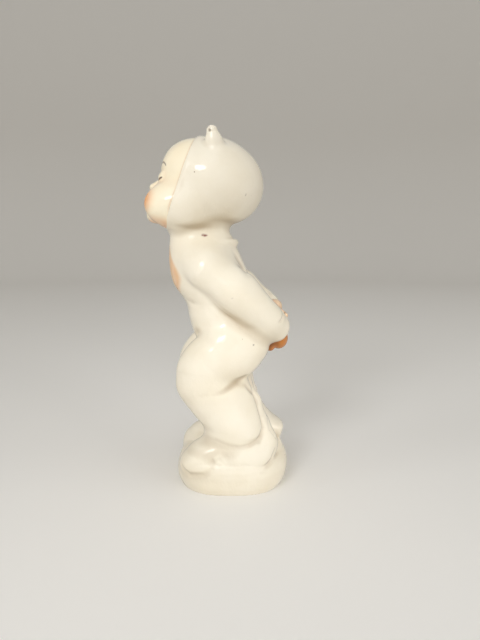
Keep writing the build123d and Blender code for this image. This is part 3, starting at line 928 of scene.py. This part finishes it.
def from_line(m, middle, half_width, height, rise):
    """Distance in the front view to a painted line."""
    across = (m[:, 0] - middle) / half_width
    off = np.abs(m[:, 2] - height - rise * (1.0 - across**2))
    return off + LINE_END * np.maximum(np.abs(across) - 1.0, 0.0)


def face_paints(p):
    """Face paint at each point: blush, lips and thin brown lines."""
    m = both_sides(head_axes(p))
    front = ramp(m[:, 1], 17.0, 22.0)
    spot = length((m - np.array(BLUSH_CENTRE)) / np.array(BLUSH_RADII))
    nostril = length(m - np.array(NOSTRIL_CENTRE)) - NOSTRIL_RADIUS
    lash = fade(from_line(m, *LASH), 0.35, 0.75)
    brow = 0.75 * fade(from_line(m, *BROW), 0.30, 0.85)
    lines = np.maximum(np.maximum(lash, brow), 0.8 * fade(nostril, 0.0, 0.5))
    return {
        "blush_and_shade": fade(spot, 0.15, 1.15) * front,
        "lips": fade(lip_form(m), 0.15, 0.55) * front,
        "lines": lines * front,
    }


def skin_paints(points, normals, faces):
    """How strong each layer of paint and of painted shade is at each skin point."""
    x, y, z = points.T
    # Painted shade: creases, hollows and deep folds darken towards the shade colour
    creases = hidden(points, normals, CREASE)
    hollows = HOLLOW_SHADE * hidden(points, normals, HOLLOW)
    folds = FOLD_SHADE * (in_slabs(folded, points) - FOLD_UNSHADED)
    crease_shade = np.maximum(np.maximum(creases, hollows), folds)
    # Painted shade on hollows that face down
    shelter = hidden(points, normals, SHELTER) * fade(normals[:, 2], -0.35, 0.35)

    # Behind the legs and in front between them the real shadow is deep, so less painted shade goes
    # there
    rear = ramp(y, 18.0, 26.0) * ramp(z, 28.0, 36.0)
    front = fade(y, -16.0, -6.0) * fade(np.abs(x), 18.0, 26.0)
    shade_kept = 1.0 - DIM_LESS * np.maximum(rear, front) * fade(z, 60.0, 70.0)
    on_hood = 1.0 + HOOD_SHADE * ramp(z, 172.0, 180.0)
    paints = {
        "crevice_shade": evened(crease_shade, faces) * shade_kept,
        "shade": evened(shelter, faces, rounds=4) * shade_kept * on_hood,
    }

    bib_half_width = BIB_HALF_WIDTH - BIB_NARROWING * ramp(z, 143.0, 164.0)
    bib = np.hypot(x / bib_half_width, (z - BIB_HEIGHT) / BIB_HALF_HEIGHT)
    paints["chest"] = fade(bib, 0.82, 1.02) * fade(normals[:, 1], -0.6, -0.2)
    paints["chips"] = np.zeros(len(points))
    paints["scuffs"] = np.zeros(len(points))
    for (paint, _, _, radius), place in zip(CHIPS, chip_places):
        mark = fade(length(points - place), 0.6 * radius, 1.2 * radius)
        paints[paint] = np.maximum(paints[paint], mark)
    paints["worn"] = ramp(z + 0.4 * y, 128.0, 136.0)
    paints.update(face_paints(points))
    # Painted shade: skin that faces down, under the chin, takes on the warm blush colour
    under_chin_shade = CHIN_SHADE * fade(normals[:, 2], -0.95, -0.4)
    paints["blush_and_shade"] = np.maximum(paints["blush_and_shade"], under_chin_shade)
    return paints


# Each glaze in screen colours: its light, its deep and its painted shade colour, that creases and
# hollows take on, then its painted layers with their strengths
GLAZES = {
    "cream_glaze": (
        (247, 240, 223),
        (241, 232, 211),
        (168, 143, 104),
        (
            ("chest", 0.8, (236, 184, 130)),
            ("chips", 1.0, (118, 30, 22)),
            ("scuffs", 0.9, (132, 116, 96)),
        ),
    ),
    "face_paint": (
        (254, 246, 222),
        (252, 238, 208),
        (204, 150, 102),
        (
            ("blush_and_shade", 0.95, (236, 148, 58)),
            ("lips", 0.9, (204, 92, 66)),
            ("lines", 0.95, (70, 42, 30)),
        ),
    ),
    "hand_paint": (
        (206, 133, 50),
        (190, 113, 38),
        (128, 74, 30),
        (("worn", 0.95, (248, 220, 186)),),
    ),
}
SLOTS = {"head": "face_paint", "left_hand": "hand_paint", "right_hand": "hand_paint"}
PINHOLE_COLOUR = (150, 122, 92)

# Noise in the glaze, per metre: slow drift of colour, runs, orange peel and fine grain
DRIFT_SCALE = 32.0
RUN_SCALE = 190.0
RUN_STRETCH = (1.0, 1.0, 0.6)
PEEL_SCALE = 520.0
GRAIN_SCALE = 1500.0
PINHOLE_SCALE = 95.0
PINHOLE_RADIUS = 0.045  # in cells of the pinholes' pattern
PINHOLE_CHOICE = 0.8  # share of the cells that have no pinhole
DEEP_RUNS = 0.18  # how much of the deep colour gathers in the runs
SHADE_MIX = 0.55  # how much of the painted shade colour full shade and the fullest crevices take on
CREVICE_SHADE_MIX = 0.85
PEEL_WEIGHT = 0.5  # height of the peel and the grain beside that of the runs
GRAIN_WEIGHT = 0.12
BUMP_STRENGTH = 0.45
BUMP_HEIGHT = 0.0007
COAT_WEIGHT = 0.7
COAT_ROUGHNESS = 0.03

# Sockets of a node that mixes two colours
MIX_FACTOR, MIX_A, MIX_B, MIX_RESULT = 0, 6, 7, 2


def srgb(red, green, blue):
    """A screen colour as the light it stands for."""
    parts = np.array((red, green, blue)) / 255.0
    return (*np.where(parts <= 0.04045, parts / 12.92, ((parts + 0.055) / 1.055) ** 2.4), 1.0)


class Nodes:
    """Adds nodes to a tree. A socket takes a plain value or another node's output."""

    def __init__(self, tree):
        self.tree = tree

    def feed(self, socket, value):
        if isinstance(value, bpy.types.NodeSocket):
            self.tree.links.new(value, socket)
        else:
            socket.default_value = value

    def add(self, kind, sockets, **settings):
        node = self.tree.nodes.new(kind)
        for key, value in settings.items():
            setattr(node, key, value)
        for key, value in sockets.items():
            self.feed(node.inputs[key], value)
        return node

    def math(self, operation, a, b):
        return self.add("ShaderNodeMath", {0: a, 1: b}, operation=operation).outputs[0]

    def span(self, value, low, high, to_low=0.0, to_high=1.0):
        """The value carried from one range to another, and held at its ends."""
        given = {"Value": value, "From Min": low, "From Max": high}
        wanted = {"To Min": to_low, "To Max": to_high}
        return self.add("ShaderNodeMapRange", given | wanted).outputs["Result"]

    def mix(self, factor, a, b):
        sockets = {MIX_FACTOR: factor, MIX_A: a, MIX_B: b}
        return self.add("ShaderNodeMix", sockets, data_type="RGBA").outputs[MIX_RESULT]

    def painted(self, name):
        return self.add("ShaderNodeAttribute", {}, attribute_name=name).outputs["Fac"]

    def noise(self, place, scale, detail):
        sockets = {"Vector": place, "Scale": scale, "Detail": detail}
        return self.add("ShaderNodeTexNoise", sockets).outputs["Fac"]

    def pinholes(self, place):
        """Rare round specks."""
        cells = self.add("ShaderNodeTexVoronoi", {"Vector": place, "Scale": PINHOLE_SCALE}).outputs
        draw = self.add("ShaderNodeSeparateColor", {0: cells["Color"]}).outputs[0]
        chosen = self.math("GREATER_THAN", draw, PINHOLE_CHOICE)
        speck = self.span(cells["Distance"], PINHOLE_RADIUS, 0.6 * PINHOLE_RADIUS)
        return self.math("MULTIPLY", chosen, speck)

    def seen_rays(self):
        """1 for rays from the camera, off gloss or through glass, and 0 for the rest."""
        rays = self.add("ShaderNodeLightPath", {}).outputs
        seen = rays["Is Camera Ray"]
        for kind in ("Is Glossy Ray", "Is Transmission Ray"):
            seen = self.math("MAXIMUM", seen, rays[kind])
        return seen


def new_material(name):
    """A material, its nodes and the sockets of its shader."""
    material = bpy.data.materials.new(name)
    material.use_nodes = True
    tree = material.node_tree
    return material, Nodes(tree), tree.nodes["Principled BSDF"].inputs


def glaze(name, light, deep, shade_colour, layers):
    """A glossy glaze: drifting colour, painted layers, painted shade in creases and hollows,
    pinholes, a rippled coat.
    """
    material, nodes, shader = new_material(name)
    light, deep, shade_colour = srgb(*light), srgb(*deep), srgb(*shade_colour)
    place = nodes.add("ShaderNodeTexCoord", {}).outputs["Object"]
    stretch = {0: place, 1: RUN_STRETCH}
    run_place = nodes.add("ShaderNodeVectorMath", stretch, operation="MULTIPLY").outputs[0]
    drift = nodes.noise(place, DRIFT_SCALE, 3.0)
    run = nodes.noise(run_place, RUN_SCALE, 2.0)
    peel = nodes.noise(place, PEEL_SCALE, 1.0)
    grain = nodes.noise(place, GRAIN_SCALE, 1.0)

    colour = nodes.mix(nodes.span(drift, 0.36, 0.66), light, deep)
    colour = nodes.mix(nodes.span(run, 0.55, 0.80, 0.0, DEEP_RUNS), colour, deep)
    thinner = nodes.span(run, 0.25, 0.55, 0.80, 1.0)
    for attribute, strength, paint in layers:
        amount = nodes.math("MULTIPLY", nodes.painted(attribute), strength)
        colour = nodes.mix(nodes.math("MULTIPLY", amount, thinner), colour, srgb(*paint))
    # Painted shade: shade and crevices darken towards the shade colour
    shade = nodes.span(nodes.painted("shade"), 0.15, 0.80, 0.0, SHADE_MIX)
    colour = nodes.mix(shade, colour, shade_colour)
    crevice_shade = nodes.span(nodes.painted("crevice_shade"), 0.10, 0.75, 0.0, CREVICE_SHADE_MIX)
    colour = nodes.mix(crevice_shade, colour, shade_colour)
    colour = nodes.mix(nodes.pinholes(place), colour, srgb(*PINHOLE_COLOUR))

    height = nodes.math("ADD", nodes.math("MULTIPLY", peel, PEEL_WEIGHT), run)
    height = nodes.math("ADD", nodes.math("MULTIPLY", grain, GRAIN_WEIGHT), height)
    ripple = {"Height": height, "Strength": BUMP_STRENGTH, "Distance": BUMP_HEIGHT}
    nodes.feed(shader["Base Color"], colour)
    nodes.feed(shader["Roughness"], nodes.span(run, 0.3, 0.7, 0.48, 0.64))
    nodes.feed(shader["Normal"], nodes.add("ShaderNodeBump", ripple).outputs["Normal"])
    nodes.feed(shader["Coat Weight"], COAT_WEIGHT)
    nodes.feed(shader["Coat Roughness"], COAT_ROUGHNESS)
    return material


# Stage: a round floor that curves up into a backdrop, in one colour where it is seen and a duller
# one where it throws light back on the figure
FLOOR_FLAT = 1.9
FLOOR_CURVE = 0.8
FLOOR_TOP = 1.7
FLOOR_CURVE_STEPS = 13
FLOOR_TURNS = 96
FLOOR_SEEN = (250, 249, 246)
FLOOR_THROWN = (212, 207, 199)
FLOOR_ROUGHNESS = 0.8

WORLD_COLOUR = (0.98, 0.96, 0.92, 1.0)
WORLD_LIGHT = 0.54
WORLD_SEEN = 0.40

# Lamps: place, target, size, power, spread in degrees and whether the coat mirrors it
LAMPS = {
    "key": ((0.78, -0.42, 0.66), (0.0, 0.0, 0.10), (0.36, 0.24), 3.25, 180.0, True),
    "fill": ((0.55, 1.15, 0.42), (0.0, 0.0, 0.06), (1.2, 0.5), 4.0, 180.0, False),
    "low_fill": ((0.60, 0.10, 0.10), (0.0, 0.0, 0.0), (0.3, 0.3), 0.05, 22.0, False),
    "high_fill": ((0.75, 0.0, 0.34), (0.0, 0.0, 0.215), (0.3, 0.3), 0.042, 28.0, False),
    "front_fill": ((0.30, -0.80, 0.30), (0.0, 0.0, 0.17), (0.3, 0.3), 0.06, 26.0, False),
    "tail_fill": ((0.55, 0.55, 0.10), (0.0, 0.03, 0.04), (0.2, 0.2), 0.018, 16.0, False),
}

# Camera: on the figure's left and looking down a little, as in the photo
CAMERA_PLACE = (0.336, 0.006, 0.167)
LOOK_DOWN = 9.0
SENSOR = 36.0
FOCAL_PIXELS = 481.0
PICTURE_HEIGHT = 640.0


def add_floor():
    bend = np.linspace(0.0, math.pi / 2, FLOOR_CURVE_STEPS)
    profile = [
        (FLOOR_FLAT + FLOOR_CURVE * math.sin(a), FLOOR_CURVE - FLOOR_CURVE * math.cos(a))
        for a in bend
    ]
    profile.append((FLOOR_FLAT + FLOOR_CURVE, FLOOR_TOP))
    around = np.linspace(0.0, 2 * math.pi, FLOOR_TURNS + 1)[:-1]
    points = [(r * math.cos(a), r * math.sin(a), z) for r, z in profile for a in around]
    points.append((0.0, 0.0, 0.0))
    middle = len(points) - 1
    faces = [(middle, i, (i + 1) % FLOOR_TURNS) for i in range(FLOOR_TURNS)]
    for ring in range(len(profile) - 1):
        for i in range(FLOOR_TURNS):
            a = ring * FLOOR_TURNS + i
            b = ring * FLOOR_TURNS + (i + 1) % FLOOR_TURNS
            faces.append((a, a + FLOOR_TURNS, b + FLOOR_TURNS, b))
    mesh = bpy.data.meshes.new("floor")
    mesh.from_pydata(points, [], faces)
    mesh.polygons.foreach_set("use_smooth", [True] * len(faces))
    material, nodes, shader = new_material("floor")
    colour = nodes.mix(nodes.seen_rays(), srgb(*FLOOR_THROWN), srgb(*FLOOR_SEEN))
    nodes.feed(shader["Base Color"], colour)
    nodes.feed(shader["Roughness"], FLOOR_ROUGHNESS)
    mesh.materials.append(material)
    floor = bpy.data.objects.new("floor", mesh)
    bpy.context.scene.collection.objects.link(floor)


def add_world():
    world = bpy.data.worlds.new("studio")
    bpy.context.scene.world = world
    world.use_nodes = True
    nodes = Nodes(world.node_tree)
    background = world.node_tree.nodes["Background"].inputs
    nodes.feed(background["Color"], WORLD_COLOUR)
    strength = nodes.span(nodes.seen_rays(), 0.0, 1.0, WORLD_LIGHT, WORLD_SEEN)
    nodes.feed(background["Strength"], strength)


def add_lamp(name, place, target, size, power, spread, mirrored_by_coat):
    light = bpy.data.lights.new(name, "AREA")
    light.shape = "RECTANGLE"
    light.size, light.size_y = size
    light.spread = math.radians(spread)
    light.energy = power
    lamp = bpy.data.objects.new(name, light)
    lamp.visible_camera = False
    lamp.visible_glossy = mirrored_by_coat
    lamp.location = place
    towards = Vector(target) - Vector(place)
    lamp.rotation_euler = towards.to_track_quat("-Z", "Y").to_euler()
    bpy.context.scene.collection.objects.link(lamp)


def add_camera():
    data = bpy.data.cameras.new("camera")
    data.lens = SENSOR * FOCAL_PIXELS / PICTURE_HEIGHT
    camera = bpy.data.objects.new("camera", data)
    camera.location = CAMERA_PLACE
    camera.rotation_euler = (math.radians(90.0 - LOOK_DOWN), 0.0, math.radians(90.0))
    bpy.context.scene.collection.objects.link(camera)
    bpy.context.scene.camera = camera


skin_points, skin_normals, section_faces = make_skin()
paints = skin_paints(skin_points, skin_normals, section_faces)
glazes = {slot: glaze(slot, *recipe) for slot, recipe in GLAZES.items()}
for node, faces in section_faces.items():
    piece = add_piece(node, faces, skin_points, skin_normals, paints)
    slot = SLOTS.get(node, "cream_glaze")
    piece.data.materials.append(glazes[slot])

add_floor()
add_world()
for name, settings in LAMPS.items():
    add_lamp(name, *settings)
add_camera()
bpy.context.scene.view_settings.view_transform = "Standard"
